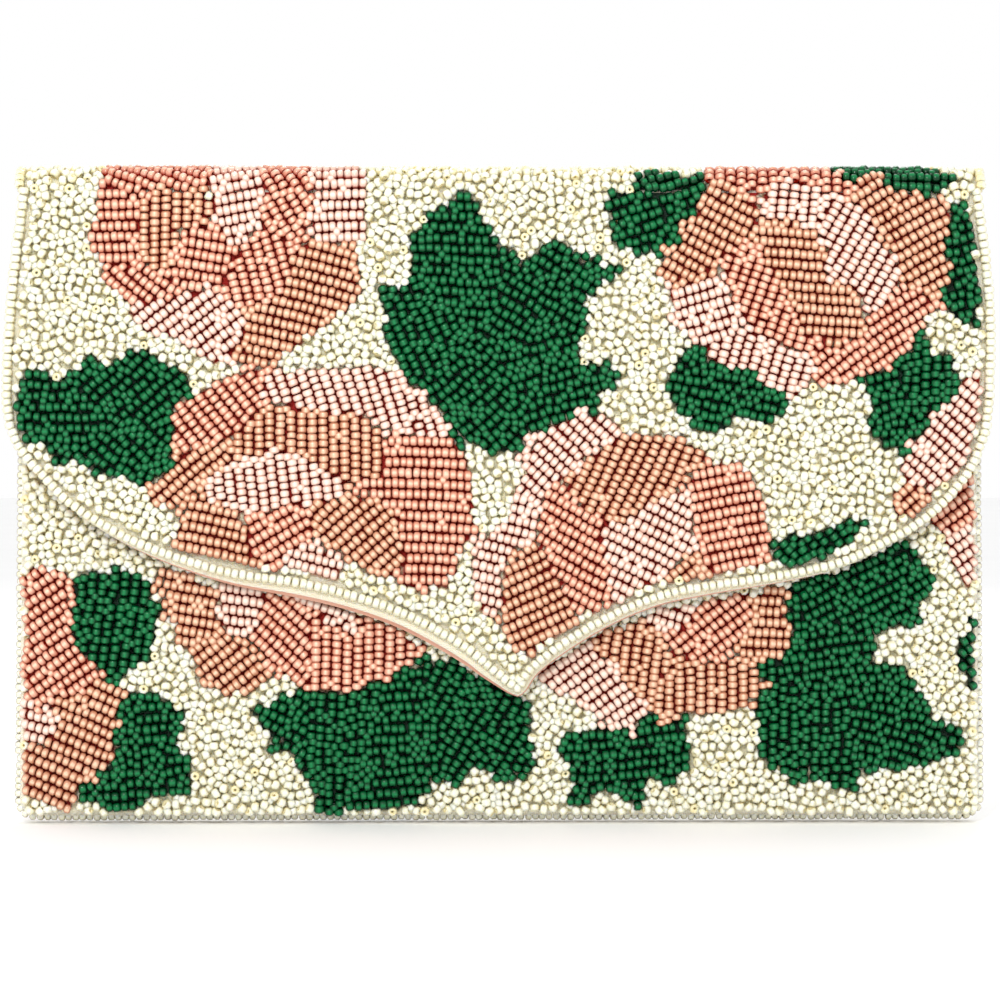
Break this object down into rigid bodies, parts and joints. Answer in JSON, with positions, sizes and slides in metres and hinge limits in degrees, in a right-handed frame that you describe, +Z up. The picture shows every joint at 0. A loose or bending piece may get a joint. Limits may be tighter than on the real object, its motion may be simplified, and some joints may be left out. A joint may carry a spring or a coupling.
{
  "type": "clutch purse",
  "caption": "Flat beaded foldover clutch: a lined pouch whose pointed flap folds over a spine strip and closes with a hidden magnetic snap.",
  "frame": {"origin": "middle of the bottom edge, halfway through the thickness, with the purse upright and its flap closed", "axes": "+X across the width to the right as seen from the front, +Y towards the back, +Z up towards the fold; the flap is on the -Y side"},
  "size_m": [0.2434, 0.0214, 0.161],
  "materials": {
    "beads": "glossy opaque seed beads in ivory, blush, coral, tan and deep green",
    "edge_beads": "glossy opaque ivory seed beads",
    "ground_cloth": "plain-woven cream cotton",
    "interlining": "stiff white felted interlining",
    "satin_lining": "peach satin",
    "snap_metal": "thin bright gold plating",
    "magnet": "dark ferrite",
    "washer_steel": "plain zinc-plated steel"
  },
  "bodies": {
    "pouch": {"back_bead_field": "beads", "back_ground_cloth": "ground_cloth", "back_interlining": "interlining", "back_lining": "satin_lining", "slip_pocket": "satin_lining", "front_bead_field": "beads", "front_ground_cloth": "ground_cloth", "front_interlining": "interlining", "front_lining": "satin_lining", "left_seam_binding": "ground_cloth", "right_seam_binding": "ground_cloth", "bottom_seam_binding": "ground_cloth", "left_edge_beads": "edge_beads", "right_edge_beads": "edge_beads", "bottom_edge_beads": "edge_beads", "mouth_edge_beads": "edge_beads", "snap_socket_cup": "snap_metal", "snap_socket_magnet": "magnet", "snap_socket_prongs": "snap_metal", "snap_socket_washer": "washer_steel"},
    "spine": {"spine_bead_field": "beads", "spine_edge_beads": "edge_beads", "spine_ground_cloth": "ground_cloth", "spine_lining": "satin_lining"},
    "flap": {"flap_bead_field": "beads", "flap_edge_beads": "edge_beads", "flap_ground_cloth": "ground_cloth", "flap_interlining": "interlining", "flap_lining": "satin_lining", "snap_stud_post": "snap_metal", "snap_stud_prongs": "snap_metal", "snap_stud_washer": "washer_steel"}
  },
  "joints": [
    {"name": "back_crease", "type": "hinge", "parent": "pouch", "child": "spine", "pos_m": [0, 0.0083, 0.1586], "axis": [-1, 0, 0], "range_deg": [0, 90]},
    {"name": "front_crease", "type": "hinge", "parent": "spine", "child": "flap", "pos_m": [0, -0.0083, 0.1586], "axis": [-1, 0, 0], "range_deg": [0, 90]}
  ]
}
